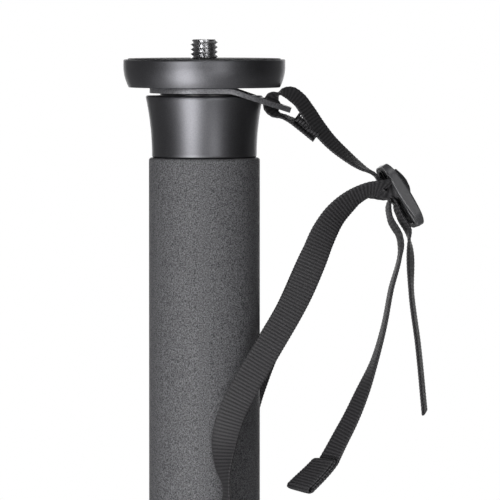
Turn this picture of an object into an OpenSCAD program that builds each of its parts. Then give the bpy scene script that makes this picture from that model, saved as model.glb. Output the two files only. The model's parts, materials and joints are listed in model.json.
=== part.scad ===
// Camera monopod with a foam grip, four telescoping tubes, twist locks and a wrist strap.
// Millimetres, +Z up. The origin is the centre of the camera seat, on top of the head.

/* [Camera plate] */
// Diameter of the plate at its rim
plate_d = 55; // [50:0.5:65]
// Diameter of the plate's underside
plate_foot_d = 51.4; // [46:0.2:52]
// Height of the plate
plate_h = 9.5; // [8:0.5:14]
// Upright height of the rim before the flank curves in
rim_h = 2.4; // [1:0.2:4]
// Diameter of the rubber pad that the camera sits on
pad_d = 52; // [40:0.5:53]
// Thickness of the pad
pad_t = 1.3; // [0.8:0.1:1.6]
// Height of the pad above the plate's rim
pad_proud = 0.3; // [0.1:0.1:0.6]

/* [Camera screw] */
// Outer diameter of the screw's thread, 3/8 inch
screw_d = 9.525; // [6.35:0.005:12]
// Height of the screw above the seat
screw_h = 6.5; // [4:0.5:9]
// Bevel at the screw's top
screw_bevel = 0.8; // [0.3:0.1:1.2]
// Depth of the thread relief inside the pad
relief_depth = 0.5; // [0.2:0.1:0.8]
// Diameter of the flange that holds the plate down
flange_d = 18; // [14:0.5:22]
// Thickness of that flange
flange_t = 1.5; // [1:0.1:2]
// Length of thread that goes into the neck
screw_reach = 10; // [6:0.5:10]

/* [Neck] */
// Diameter of the neck's upper edge
neck_top_d = 39.8; // [38:0.2:46]
// Diameter of the neck above the grip
neck_foot_d = 35.6; // [33:0.2:37]
// Height of the neck between the strap ring and the grip
neck_h = 20.9; // [19:0.5:30]
// Edge bevel of the neck
neck_bevel = 0.5; // [0.2:0.1:1]
// Diameter of the spigot that the strap ring turns on
spigot_d = 14; // [13:0.2:15]
// Length of the spigot inside the plate
spigot_reach = 3.4; // [2:0.2:4]
// Depth of the socket that holds the top tube
socket_depth = 15; // [8:0.5:15]

/* [Strap ring] */
// Diameter of the ring
ring_d = 37.2; // [34:0.2:38]
// Thickness of the ring
ring_t = 1.8; // [1.4:0.1:2.2]
// Room between the plate and the neck
ring_room = 2.8; // [2.6:0.1:3.6]
// Distance from the axis to the start of the bail's bend
bend_x = 7.6; // [7.4:0.1:8]
// Radius of that bend, under the sheet
bend_r = 10; // [9:0.5:12]
// Length of the bail after its bend
bail_l = 19.2; // [18:0.2:24]
// Slope of the bail below the ring
bail_slope = 18.5; // [10:0.5:19]
// Distance from the axis to the bail's opening
open_x = 9; // [9:0.1:10]
// Length of the bail's arms before they close in
shoulder_l = 4; // [2:0.5:8]
// Cut corner of the bail's end
bail_corner = 2; // [1:0.5:4]
// Width of the bail's side arms
arm_w = 2; // [1.6:0.1:2.2]
// Width of the bail's end bar
bar_w = 3; // [2:0.2:3.2]
// Length of the bail's end bar
bar_l = 17; // [15:0.5:22]
// Diameter of the washer under the ring
washer_d = 30; // [24:0.5:36]

/* [Grip] */
// Diameter of the foam grip
grip_d = 37.7; // [33:0.1:44]
// Length of the foam grip
grip_l = 260; // [160:5:300]
// Rounding of the foam's edges
grip_round = 0.9; // [0.4:0.1:1.6]

/* [Tubes] */
// Diameter of the top tube
tube_d = 28; // [26:0.5:30]
// Difference in diameter from each tube to the next
tube_step = 4; // [3.8:0.1:4.4]
// Wall of every tube
tube_wall = 1.2; // [1:0.1:1.3]
// Length of every tube
tube_l = 400; // [340:5:460]
// Length of the guide bush on the upper end of each sliding tube
bush_l = 24; // [15:1:40]
// Width of the slit in guide bushes and collets
slit_w = 1.6; // [0.8:0.1:2.5]

/* [Twist locks] */
// Length of the threaded ferrule on the end of a tube
ferrule_l = 18; // [12:1:20]
// Thickness of the ferrule
ferrule_t = 1.6; // [1.2:0.1:2.2]
// Length of the collar above the tube's end
collar_up = 20; // [20:0.5:26]
// Length of the collar below the tube's end
collar_down = 16; // [15:0.5:22]
// Wall of the collar
collar_wall = 2.4; // [2:0.1:3]
// Length of the clamping collet
collet_l = 11; // [8:0.5:11]
// Taper of the collet, from its top to its foot
collet_taper = 0.6; // [0.3:0.1:0.8]
// Gap between the collet and the collar's taper
cone_gap = 0.3; // [0.2:0.1:0.4]
// Bevel of the collar's edges
collar_bevel = 1; // [0.5:0.1:1.4]
// Thickness of the collar's floor
collar_floor = 3; // [2:0.2:3.6]
// Length of the rubber band round the collar
band_l = 22; // [16:0.5:26]
// Depth of the groove that the band lies in
band_seat = 0.8; // [0.5:0.1:1]
// Height of the band's ribs above the collar
rib_h = 0.5; // [0.3:0.1:0.9]
// Number of ribs round each band
rib_count = 24; // [12:2:36]
// Space between one lock and the next when the monopod is closed
lock_space = 0.8; // [0.5:0.1:2]

/* [Foot] */
// Bare tube between the last lock and the foot
foot_space = 7; // [2:0.5:20]
// Length of the plug inside the last tube
plug_l = 15; // [10:1:30]
// Thickness of the plug's flange
plug_flange = 3; // [2:0.5:5]
// Bevel of the plug's ends
plug_bevel = 0.8; // [0.4:0.1:1.2]
// Diameter of the plug's stud
stud_d = 9.4; // [6:0.2:10]
// Length of the plug's stud
stud_l = 11; // [6:0.5:14]
// Diameter of the rubber foot at its sole
foot_d = 26; // [22:0.5:34]
// Diameter of the rubber foot's top
foot_top_d = 18; // [17:0.5:22]
// Diameter of the rubber foot's waist, halfway down
foot_waist_d = 19.6; // [18:0.2:24]
// Height of the rubber foot
foot_h = 19; // [16:0.5:28]
// Rounding of the sole's edge
sole_round = 4; // [2:0.5:5]

/* [Wrist strap] */
// Width of the webbing
webbing_w = 9.5; // [8:0.1:10]
// Thickness of the webbing
webbing_t = 1.2; // [0.8:0.1:1.3]
// Thickness of the folded hem
hem_t = 3.4; // [2.4:0.1:3.8]
// Length of the slider along its slots
slider_l = 24; // [23:0.5:28]
// Width of the slider across its bars
slider_w = 18; // [17.6:0.1:22]
// Thickness of the slider
slider_t = 3.5; // [2.4:0.1:3.5]
// Length of the slider's slots
slot_l = 20.4; // [20:0.2:21]
// Width of each slot
slot_w = 5; // [4.8:0.1:5.2]
// Diameter of the slider's round middle bar
middle_bar = 2.4; // [2:0.1:2.4]
// Height of the beads along the slider's outer bars
bead_h = 0.2; // [0.1:0.05:0.3]
// Rounding of the slider's corners
slider_round = 4; // [2:0.5:5]

/* [Fits] */
// Radial clearance of what slides or turns
running_fit = 0.08; // [0.04:0.01:0.1]
// Radial clearance of what is glued, screwed or pressed in place
seat_fit = 0.03; // [0.01:0.01:0.1]
// Room at the end of a blind hole
end_room = 0.5; // [0.3:0.1:0.8]
// Gap between flat faces that turn past each other
face_gap = 0.15; // [0.1:0.05:0.3]

/* [Hidden] */
$fn = 96;

// Heights along the axis, from the camera seat down
plate_top = -pad_proud;
pad_floor = -pad_t;
flange_foot = pad_floor - flange_t;
plate_foot = plate_top - plate_h;
neck_top = plate_foot - ring_room;
spigot_top = plate_foot + spigot_reach;
screw_end = spigot_top - screw_reach;
neck_foot = neck_top - neck_h;
tube_top = neck_foot + socket_depth;
ring_top = plate_foot - face_gap;
ring_foot = ring_top - ring_t;
bend_drop = bend_r - sqrt(pow(bend_r, 2) - pow(max(open_x - bend_x, 0), 2));
washer_top = ring_foot - bend_drop - face_gap;
grip_top = neck_foot - face_gap;

// Radii of tube i, counted from 1 at the top
function tube_r(i) = (tube_d - (i - 1) * tube_step) / 2;
function tube_bore(i) = tube_r(i) - tube_wall;

// Lower end of tube i while the monopod is closed: each lock hangs just below the one above it
lock_pitch = collar_up + collar_down + lock_space;
function tube_end(i) = tube_top - tube_l - (i - 1) * lock_pitch;
last_lock_foot = tube_end(3) - collar_down;
foot_tube_end = last_lock_foot - foot_space;
function tube_start(i) = i == 1 ? tube_top : (i == 4 ? foot_tube_end : tube_end(i)) + tube_l;

// Radii of lock i, on the lower end of tube i
function ferrule_r(i) = tube_r(i) + ferrule_t;
function collar_bore(i) = ferrule_r(i) + running_fit;
function collar_r(i) = collar_bore(i) + collar_wall;
function next_bore(i) = tube_r(i + 1) + running_fit;

// Axes of the slider: along its slots, across its bars and out of its face
slider_at = [66.4, -2, -46.6];
slider_turn = 58;
slider_lean = 12;
along = [cos(slider_turn), 0, -sin(slider_turn)];
across = [-sin(slider_turn) * sin(slider_lean), cos(slider_lean), -cos(slider_turn) * sin(slider_lean)];
out = [sin(slider_turn) * cos(slider_lean), sin(slider_lean), cos(slider_turn) * cos(slider_lean)];
function in_slider(s, q, n) = slider_at + s * along + q * across + n * out;

// Routes of the webbing: each row is a point, then the way that the webbing's width lies, then its thickness
function row(point, width, thick = webbing_t) = concat(point, width, [thick]);
function slider_row(s, q, n, width = along) = row(in_slider(s, q, n), width);

link_rows = [
    row([38, 0, -26.6], [0.3, 0.92, 0.25]),
    row([33, 0, -23], [0.25, 0.95, 0.2]),
    row([27.5, 0, -20], [0.15, 0.97, 0.1]),
    row([24.2, 0, -18.6], [0.1, 0.99, 0]),
    row([22.9, 0, -16], [0, 1, 0]),
    row([23.6, 0, -13.2], [0, 1, 0]),
    row([26, 0, -11.7], [0.1, 0.99, 0.1]),
    row([29, 0, -11.8], [0.2, 0.95, 0.25]),
    row([32, 0, -13.8], [0.3, 0.92, 0.3]),
    row([35, 0, -17.8], [0.36, 0.9, 0.25]),
    row([38.4, 0, -22.9], [0.36, 0.9, 0.25]),
    row([42.4, 0, -27.8], [0.36, 0.9, 0.3]),
    row([48, -0.8, -32.9], [0.25, 0.95, 0.25]),
    row([54, -2.4, -37.4], [0.1, 1, 0.1]),
    row([58, -4.2, -39.6], [0.1, 1, -0.2]),
    slider_row(-3.4, -1.7, -4.2),
    slider_row(-2.8, -1.9, -1.8),
    slider_row(-2.8, -2, 0),
    slider_row(-2.4, -1.6, 1.6),
    slider_row(-1.8, 0, 2.2),
    slider_row(-1.2, 1.6, 1.6),
    slider_row(-0.8, 1.95, 0),
    slider_row(1, 1.95, -2),
    slider_row(6, 1.6, -3.4, along + across + 0.5 * out),
    slider_row(11.5, 2.2, -3.6, across),
    row([69.7, -0.6, -63], [0.05, 1, 0]),
    row([70.4, -1, -80], [0.06, 1, 0]),
    row([72.6, -1.3, -97], [0.1, 1, 0]),
    row([74.9, -1.6, -120.4], [0.1, 1, 0])
];

loop_rows = [
    slider_row(-8.6, 6, -8, along + 0.8 * across),
    slider_row(-5.6, 5.5, -3),
    slider_row(-4.9, 5.35, 0),
    slider_row(-4.9, 5.25, 1.5),
    slider_row(-4.9, 5.9, 2.75),
    slider_row(-4.9, 7.6, 3),
    slider_row(-4.9, 9.6, 2.5),
    slider_row(-4.9, 10.1, 0),
    slider_row(-5.6, 9.9, -4.5, along + 0.2 * across),
    slider_row(-8, 8.8, -8.5, along + across),
    row([49, 7.4, -49], [0.42, 0.76, -0.5]),
    row([44.4, 10, -54], [0.6, 0.6, -0.52]),
    row([38.4, 12.6, -65.4], [0.85, 0.3, -0.45]),
    row([28, 20.4, -88.2], [0.8, 0.3, -0.5]),
    row([21.4, 23.4, -100.2], [0.8, 0.15, -0.5]),
    row([16.4, 24.4, -113], [0.88, 0, -0.42]),
    row([8, 23.8, -146], [0.95, 0, -0.3]),
    row([2, 23, -163], [0.9, -0.05, -0.45]),
    row([-7, 20.8, -176.4], [0.7, 0.23, -0.68]),
    row([-15.6, 14.9, -184.4], [0.33, 0.34, -0.88]),
    row([-20.6, 6, -187.6], [0.04, 0.13, -0.98]),
    row([-21, -4, -187.4], [0.04, -0.2, -0.97]),
    row([-16.6, -13.8, -183], [0.3, -0.38, -0.88]),
    row([-8.4, -21.2, -175.4], [0.6, -0.24, -0.75]),
    row([1, -23.8, -165.6], [0.8, -0.1, -0.58]),
    row([6.6, -24, -155], [0.6, -0.75, -0.25]),
    row([7.6, -23.7, -145], [0.2, -0.97, -0.05]),
    row([6.5, -23.2, -136.3], [0.6, -0.8, -0.05]),
    row([7, -22.4, -128], [0.9, -0.4, -0.1]),
    row([9.6, -21.8, -118.6], [0.94, -0.08, -0.32]),
    row([14.6, -21.4, -108.8], [0.88, 0, -0.46]),
    row([21, -20.6, -98], [0.86, 0, -0.5]),
    row([32.7, -17, -77.2], [0.9, 0, -0.44]),
    row([36.6, -15.2, -68.2], [0.92, 0.1, -0.4]),
    row([40.6, -13, -58.6], [0.8, 0.35, -0.5]),
    row([44.8, -11.6, -52], [0.6, 0.6, -0.52]),
    row([50, -10.8, -47.2], [0.42, 0.76, -0.5]),
    row([56, -10, -44.2], [0.3, 0.85, -0.45]),
    row([60, -8.9, -43.6], [0.33, 0.72, -0.6]),
    slider_row(-4.7, -4.5, -3.4, along + 0.1 * across),
    slider_row(-4.4, -3.8, 0),
    slider_row(-4, -3, 2.7),
    slider_row(-3.2, 0, 4.3),
    slider_row(-2.4, 3, 2.7),
    slider_row(-1.6, 3.6, 0),
    slider_row(-0.8, 3.6, -2.6),
    slider_row(4.8, 3, -6.4, along + across + 0.5 * out),
    slider_row(11, 2.6, -7, across),
    row([66.6, 1.4, -65], [0, 1, 0]),
    row([63.4, 1, -79], [0, 1, 0]),
    row([61, 0.4, -91.5], [0, 1, 0]),
    row([57.6, -0.2, -103.6], [0.1, 0.98, 0]),
    row([53.6, -0.8, -113.8], [0.4, 0.9, -0.15]),
    row([48.8, -1.4, -124.4], [0.47, 0.84, -0.25]),
    row([42.6, -2, -135], [0.48, 0.8, -0.34]),
    row([41.4, -2.1, -136.7], [0.48, 0.8, -0.34], hem_t),
    row([31.6, -2.6, -147], [0.5, 0.75, -0.4], hem_t)
];

// Four corners of the webbing at one row, square to its run there
function unit(v) = v / norm(v);
function point_of(r) = [r[0], r[1], r[2]];
function width_of(r) = [r[3], r[4], r[5]];
function way(rows, i) = unit(point_of(rows[i + 1]) - point_of(rows[i]));
function run_at(rows, i) =
    i == 0 ? way(rows, 0)
    : i == len(rows) - 1 ? way(rows, i - 1)
    : unit(way(rows, i - 1) + way(rows, i));
function square_to(w, run) = unit(w - (w * run) * run);
function corners(p, w, n, t) = [for (c = [[1, 1], [-1, 1], [-1, -1], [1, -1]])
    p + c[0] * w * webbing_w / 2 + c[1] * n * t / 2];
function ring_of(r, run) =
    let (w = square_to(width_of(r), run))
    corners(point_of(r), w, cross(run, w), r[6]);

// Radius of the plate's flank at a share f of its curved height
function flank(f) = plate_d / 2 - (plate_d - plate_foot_d) / 2 * pow(1 - f, 2);
// Radius of the neck at a share f of its height: a hollow flare
function flare(f) = neck_foot_d / 2 + (neck_top_d - neck_foot_d) / 2 * pow(f, 2);

// A ring or tube about the axis, between two heights
module tube_between(outer, inner, low, high) {
    rotate_extrude() translate([inner, low]) square([outer - inner, high - low]);
}

// Webbing along a route, with both of its wide faces split on the same slant so that a twist keeps it even
module webbing(rows) {
    n = len(rows);
    points = [for (i = [0 : n - 1]) each ring_of(rows[i], run_at(rows, i))];
    sides = [for (i = [0 : n - 2]) for (k = [0 : 3])
        let (a = 4 * i + k, b = 4 * i + (k + 1) % 4, c = b + 4, d = a + 4)
        each k < 2 ? [[a, b, d], [b, c, d]] : [[a, b, c], [a, c, d]]];
    last = 4 * n - 4;
    ends = [[0, 2, 1], [0, 3, 2], [last, last + 1, last + 2], [last, last + 2, last + 3]];
    polyhedron(points, concat(sides, ends));
}

module plate_pad() {
    color("#1a1a1b")
    tube_between(pad_d / 2 - seat_fit, screw_d / 2 + seat_fit, pad_floor, 0);
}

module camera_plate() {
    parts = 10;
    curve_h = plate_h - rim_h;
    curve = [for (k = [0 : parts]) [flank(k / parts), plate_foot + curve_h * k / parts]];
    color("#2c2c2e")
    difference() {
        rotate_extrude() polygon(concat(
            [[0, plate_foot]], curve, [[plate_d / 2, plate_top], [0, plate_top]]
        ));
        translate([0, 0, pad_floor]) cylinder(d = pad_d, h = pad_t);
        translate([0, 0, flange_foot]) cylinder(d = flange_d + 2 * seat_fit, h = flange_t + 1);
        translate([0, 0, plate_foot - 1]) cylinder(d = screw_d + 2 * seat_fit, h = plate_h);
        translate([0, 0, plate_foot - 1])
        cylinder(d = spigot_d + 2 * seat_fit, h = spigot_reach + 1 + seat_fit);
    }
}

module camera_screw() {
    r = screw_d / 2;
    color("#c9c9cb")
    rotate_extrude() polygon([
        [0, screw_end], [r - screw_bevel, screw_end], [r, screw_end + screw_bevel], [r, flange_foot],
        [flange_d / 2, flange_foot], [flange_d / 2, pad_floor - seat_fit],
        [r - relief_depth, pad_floor - seat_fit],
        [r - relief_depth, 0], [r, 0], [r, screw_h - screw_bevel],
        [r - screw_bevel, screw_h], [0, screw_h]
    ]);
}

// Ring on the spigot, with a sloping bail that holds the strap: a bent sheet cut to its outline
module strap_ring() {
    half = ring_d / 2;
    steps = 6;
    upper_r = bend_r + ring_t;
    centre = [bend_x, ring_foot - bend_r];
    square_off = [sin(bail_slope), cos(bail_slope)];
    tip = centre + upper_r * square_off + bail_l * [cos(bail_slope), -sin(bail_slope)];
    turn = [for (k = [0 : steps]) [sin(bail_slope * k / steps), cos(bail_slope * k / steps)]];
    upper = [for (t = turn) centre + upper_r * t];
    lower = [for (k = [steps : -1 : 0]) centre + bend_r * turn[k]];
    tip_x = tip[0];
    shoulder = open_x + shoulder_l;
    end = bar_l / 2;
    color("#323234")
    difference() {
        intersection() {
            rotate([90, 0, 0]) linear_extrude(2 * ring_d, center = true) polygon(concat(
                [[-ring_d, ring_top]], upper, [tip, tip - ring_t * square_off], lower, [[-ring_d, ring_foot]]
            ));
            translate([0, 0, tip[1] - 2 * ring_t]) linear_extrude(ring_d) difference() {
                union() {
                    circle(half);
                    polygon([
                        [0, -half], [shoulder, -half],
                        [tip_x - bail_corner, -end], [tip_x + 1, -end + bail_corner],
                        [tip_x + 1, end - bail_corner], [tip_x - bail_corner, end],
                        [shoulder, half], [0, half]
                    ]);
                }
                polygon([
                    [open_x, -half + arm_w], [shoulder, -half + arm_w], [tip_x - bar_w, -end + arm_w],
                    [tip_x - bar_w, end - arm_w], [shoulder, half - arm_w], [open_x, half - arm_w]
                ]);
            }
        }
        translate([0, 0, ring_foot - 1]) cylinder(d = spigot_d + 2 * running_fit, h = ring_t + 2);
    }
}

module ring_washer() {
    color("#1c1c1e")
    tube_between(washer_d / 2, spigot_d / 2 + seat_fit, neck_top, washer_top);
}

// Turned neck: a flared body, the spigot above it and the tube's socket below
module neck() {
    parts = 12;
    low = neck_foot + neck_bevel;
    body_h = neck_h - 2 * neck_bevel;
    curve = [for (k = [0 : parts]) [flare(k / parts), low + body_h * k / parts]];
    color("#2a2a2c")
    difference() {
        rotate_extrude() polygon(concat(
            [[0, neck_foot], [neck_foot_d / 2 - neck_bevel, neck_foot]],
            curve,
            [[neck_top_d / 2 - neck_bevel, neck_top]],
            [[spigot_d / 2, neck_top], [spigot_d / 2, spigot_top], [0, spigot_top]]
        ));
        translate([0, 0, screw_end - end_room]) cylinder(d = screw_d + 2 * seat_fit, h = screw_reach + 2);
        translate([0, 0, neck_foot - 1]) cylinder(r = tube_r(1) + seat_fit, h = socket_depth + 1);
    }
}

module foam_grip() {
    r = grip_d / 2 - grip_round;
    color("#3a3a3c")
    rotate_extrude() difference() {
        union() {
            translate([0, grip_top - grip_l]) square([r, grip_l]);
            translate([0, grip_top - grip_l + grip_round]) square([grip_d / 2, grip_l - 2 * grip_round]);
            translate([r, grip_top - grip_round]) circle(grip_round);
            translate([r, grip_top - grip_l + grip_round]) circle(grip_round);
        }
        translate([-1, grip_top - grip_l - 1]) square([tube_r(1) + seat_fit + 1, grip_l + 2]);
    }
}

module tube(i) {
    low = i == 4 ? foot_tube_end : tube_end(i);
    color("#39393b") tube_between(tube_r(i), tube_bore(i), low, tube_start(i) - seat_fit);
}

// Slit plastic sleeve on the upper end of tube i, which guides it in the tube around it
module guide_bush(i) {
    top = tube_start(i) - seat_fit;
    outer = tube_bore(i - 1) - running_fit;
    color("#17171a")
    difference() {
        tube_between(outer, tube_r(i) + seat_fit, top - bush_l, top);
        translate([0, -slit_w / 2, top - bush_l - 1]) cube([outer + 1, slit_w, bush_l + 2]);
    }
}

// Threaded sleeve glued on the lower end of tube i
module lock_ferrule(i) {
    color("#8d8d90") tube_between(ferrule_r(i), tube_r(i) + seat_fit, tube_end(i), tube_end(i) + ferrule_l);
}

// Slit tapered ring that the collar squeezes on the next tube
module lock_collet(i) {
    top = tube_end(i) - face_gap;
    foot = top - collet_l;
    inner = next_bore(i);
    color("#d6d3c8")
    difference() {
        rotate_extrude() polygon([
            [inner, foot], [tube_r(i) - collet_taper, foot], [tube_r(i), top], [inner, top]
        ]);
        translate([0, -slit_w / 2, foot - 1]) cube([tube_r(i) + 1, slit_w, collet_l + 2]);
    }
}

// Twist collar: it turns on the ferrule, and its taper and floor close round the collet
module lock_collar(i) {
    top = tube_end(i) + collar_up;
    foot = tube_end(i) - collar_down;
    seat = foot + collar_floor;
    r = collar_r(i);
    lip = top - collar_bevel;
    ledge = tube_end(i) - face_gap;
    mid = (top + foot) / 2;
    color("#232325")
    rotate_extrude() polygon([
        [tube_r(i) + running_fit, lip], [tube_r(i) + running_fit, top], [r - collar_bevel, top], [r, lip],
        [r, mid + band_l / 2], [r - band_seat, mid + band_l / 2],
        [r - band_seat, mid - band_l / 2], [r, mid - band_l / 2],
        [r, foot + collar_bevel], [r - collar_bevel, foot], [next_bore(i), foot], [next_bore(i), seat],
        [tube_r(i) - collet_taper + cone_gap, seat], [tube_r(i) + cone_gap, ledge],
        [collar_bore(i), ledge], [collar_bore(i), lip]
    ]);
}

// Ribbed rubber band in the collar's groove
module lock_band(i) {
    mid = tube_end(i) + (collar_up - collar_down) / 2;
    inner = collar_r(i) - band_seat + seat_fit;
    length = band_l - 2 * seat_fit;
    rib_r = PI * collar_r(i) / rib_count / 2;
    color("#161617") {
        union() {
            tube_between(collar_r(i), inner, mid - length / 2, mid + length / 2);
            for (k = [0 : rib_count - 1]) {
                rotate([0, 0, 360 * k / rib_count])
                translate([collar_r(i) + rib_h - rib_r, 0, mid - length / 2 + rib_r])
                intersection() {
                    cylinder(r = rib_r, h = length - 2 * rib_r, $fn = 24);
                    translate([rib_r - rib_h - band_seat / 2, -rib_r, 0])
                    cube([rib_h + band_seat, 2 * rib_r, length]);
                }
            }
        }
    }
}

// Turned plug in the end of the last tube, with the stud that the rubber foot screws on
module foot_plug() {
    r = tube_bore(4) - seat_fit;
    top = foot_tube_end + plug_l;
    flange = foot_tube_end - plug_flange;
    tip = flange - stud_l;
    color("#b9b9bc")
    rotate_extrude() polygon([
        [0, tip], [stud_d / 2 - plug_bevel, tip], [stud_d / 2, tip + plug_bevel],
        [stud_d / 2, flange], [tube_r(4), flange], [tube_r(4), foot_tube_end], [r, foot_tube_end],
        [r, top - plug_bevel], [r - plug_bevel, top], [0, top]
    ]);
}

module rubber_foot() {
    top = foot_tube_end - plug_flange;
    sole = top - foot_h;
    color("#18181a")
    difference() {
        rotate_extrude() union() {
            polygon([
                [0, sole], [foot_d / 2 - sole_round, sole], [foot_d / 2, sole + sole_round],
                [foot_waist_d / 2, sole + foot_h / 2], [foot_top_d / 2, top - plug_bevel],
                [foot_top_d / 2 - plug_bevel, top], [0, top]
            ]);
            translate([foot_d / 2 - sole_round, sole + sole_round]) circle(sole_round);
        }
        translate([0, 0, top - stud_l - end_room]) cylinder(d = stud_d + 2 * seat_fit, h = stud_l + 1);
    }
}

// Webbing sewn round the bail; it passes through the slider and ends in a cut tail
module strap_link() {
    color("#2b2a2c") webbing(link_rows);
}

// Webbing sewn round the slider's far bar; it goes round the grip, back through the slider and ends in a hem
module wrist_strap() {
    color("#2e2d2f") webbing(loop_rows);
}

// Three-bar slider that both webbings pass through: a beaded frame with a round middle bar
module strap_slider() {
    bead = slider_t / 2 + bead_h;
    bead_q = slider_w / 2 - bead;
    window_w = middle_bar + 2 * slot_w;
    color("#28282a")
    translate(slider_at) rotate([-slider_lean, slider_turn, 0]) {
        difference() {
            union() {
                for (x = [-1, 1]) {
                    for (y = [-1, 1]) {
                        translate([x * (slider_l / 2 - slider_round), y * (slider_w / 2 - slider_round), 0])
                        cylinder(r = slider_round, h = slider_t, center = true);
                    }
                }
                cube([slider_l, slider_w - 2 * slider_round, slider_t], center = true);
                cube([slider_l - 2 * slider_round, slider_w, slider_t], center = true);
                for (y = [-1, 1]) {
                    translate([0, y * bead_q, 0]) rotate([0, 90, 0])
                    cylinder(r = bead, h = slider_l - 2 * slider_round, center = true);
                }
            }
            cube([slot_l, window_w, slider_t + 2], center = true);
        }
        rotate([0, 90, 0]) cylinder(d = middle_bar, h = slot_l + middle_bar, center = true);
    }
}

plate_pad();
camera_plate();
camera_screw();
strap_ring();
ring_washer();
neck();
foam_grip();
for (i = [1 : 4]) tube(i);
for (i = [2 : 4]) guide_bush(i);
for (i = [1 : 3]) lock_ferrule(i);
for (i = [1 : 3]) lock_collet(i);
for (i = [1 : 3]) lock_collar(i);
for (i = [1 : 3]) lock_band(i);
foot_plug();
rubber_foot();
strap_link();
strap_slider();
wrist_strap();
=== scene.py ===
# %% [markdown]
# # A camera monopod, dressed
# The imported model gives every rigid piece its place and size, in metres, with the camera seat at the
# origin and +Z up. This lesson keeps those places and gives the pieces the surfaces that the eye
# expects: a rolled thread, soft edges, cell foam, and webbing with its woven ribs.

# %% Load the frame
import json
import math
import bpy
import numpy as np
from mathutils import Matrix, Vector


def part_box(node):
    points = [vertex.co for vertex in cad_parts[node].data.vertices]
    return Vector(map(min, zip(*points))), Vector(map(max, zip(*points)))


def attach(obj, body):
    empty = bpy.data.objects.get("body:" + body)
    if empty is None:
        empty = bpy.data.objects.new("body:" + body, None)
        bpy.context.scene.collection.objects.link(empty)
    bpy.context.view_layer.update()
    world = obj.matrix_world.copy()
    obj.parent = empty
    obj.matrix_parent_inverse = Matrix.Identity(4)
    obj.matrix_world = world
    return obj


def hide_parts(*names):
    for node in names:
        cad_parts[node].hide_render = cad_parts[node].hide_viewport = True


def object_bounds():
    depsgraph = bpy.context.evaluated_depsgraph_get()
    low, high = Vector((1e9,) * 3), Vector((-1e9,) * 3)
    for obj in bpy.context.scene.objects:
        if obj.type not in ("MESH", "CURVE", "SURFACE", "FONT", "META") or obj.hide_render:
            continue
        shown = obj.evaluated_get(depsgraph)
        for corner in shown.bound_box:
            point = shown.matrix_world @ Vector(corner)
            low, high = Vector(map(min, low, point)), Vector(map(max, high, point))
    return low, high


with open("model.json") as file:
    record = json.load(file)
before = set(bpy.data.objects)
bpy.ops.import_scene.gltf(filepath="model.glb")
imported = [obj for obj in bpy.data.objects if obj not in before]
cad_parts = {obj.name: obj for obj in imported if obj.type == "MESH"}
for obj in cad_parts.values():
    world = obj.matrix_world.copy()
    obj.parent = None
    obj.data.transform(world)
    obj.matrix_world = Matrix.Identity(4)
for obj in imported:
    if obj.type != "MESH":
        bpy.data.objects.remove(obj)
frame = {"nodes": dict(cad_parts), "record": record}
cad_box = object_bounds()
MM = 0.001
print("nodes in the frame:", len(frame["nodes"]))

# %% [markdown]
# ## View and light
# The photo is a catalogue picture: a long lens a little above the plate, a large soft light at the left,
# a weaker one at the right, and white paper behind. A real backdrop could be modelled, but a white world that
# only camera rays see in full keeps the metal's dark side dark, which is what gives it its depth. Reflections
# see the paper where it stands, behind the object, at a lower strength.

# %% Camera
VIEW_CENTRE = np.array([15.5, 0.0, -65.1]) * MM
VIEW_WIDTH = 170 * MM
CAMERA_AT = np.array([15.5, -1900.0, 23.0]) * MM


def look_from(obj, place, target):
    """Put an object at place and turn its -Z towards target, with its own Y as far up as it goes."""
    ahead = np.subtract(target, place)
    ahead = ahead / np.linalg.norm(ahead)
    flat = math.hypot(ahead[0], ahead[1])
    obj.location = place
    obj.rotation_euler = (math.atan2(flat, -ahead[2]), 0.0, math.atan2(-ahead[0], ahead[1]))


scene = bpy.context.scene
scene.view_settings.view_transform = "Standard"
camera = bpy.data.objects.new("photo_camera", bpy.data.cameras.new("photo_camera"))
scene.collection.objects.link(camera)
look_from(camera, CAMERA_AT, VIEW_CENTRE)
camera.data.sensor_fit = "HORIZONTAL"
camera.data.angle = 2 * math.atan(VIEW_WIDTH / 2 / np.linalg.norm(VIEW_CENTRE - CAMERA_AT))
camera.data.clip_end = 20
scene.camera = camera
print("camera angle in degrees:", round(math.degrees(camera.data.angle), 2))

# %% [markdown]
# Colours are given as sRGB codes, but the renderer adds light in linear values, so each code is turned
# once, here. A node is always the same three things, its kind, its settings and its links, so one small
# function adds any of them.


# %% Small helpers for colour and nodes
def linear(code):
    """sRGB hex to linear RGBA: each channel c becomes ((c + 0.055) / 1.055) ** 2.4, or c / 12.92 when dark."""
    c = np.array([int(code[i:i + 2], 16) for i in (1, 3, 5)]) / 255
    c = np.where(c > 0.04045, ((c + 0.055) / 1.055) ** 2.4, c / 12.92)
    return (*c.tolist(), 1.0)


def node(tree, kind, links=(), **settings):
    """Add one node: settings are its own properties, links pair an input with a value or a socket."""
    made = tree.nodes.new(kind)
    for name, value in settings.items():
        setattr(made, name, value)
    for name, value in links:
        if isinstance(value, bpy.types.NodeSocket):
            tree.links.new(value, made.inputs[name])
        else:
            made.inputs[name].default_value = value
    return made


print("black and white:", linear("#000000")[0], linear("#ffffff")[0])

# %% [markdown]
# Softboxes are rectangles of light. On a round part each shows as a soft stripe whose width is the box's and whose
# blur is the finish's, so their angles are read off the stripes in the photo. Lamps could be placed by eye in the
# viewport, but angles from the head are easier to read and to change.

# %% Lights and paper
HEAD = np.array([0.0, 0.0, -20.0]) * MM
PAPER_ASIDE, PAPER_BEHIND = 0.015, 0.12


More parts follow.
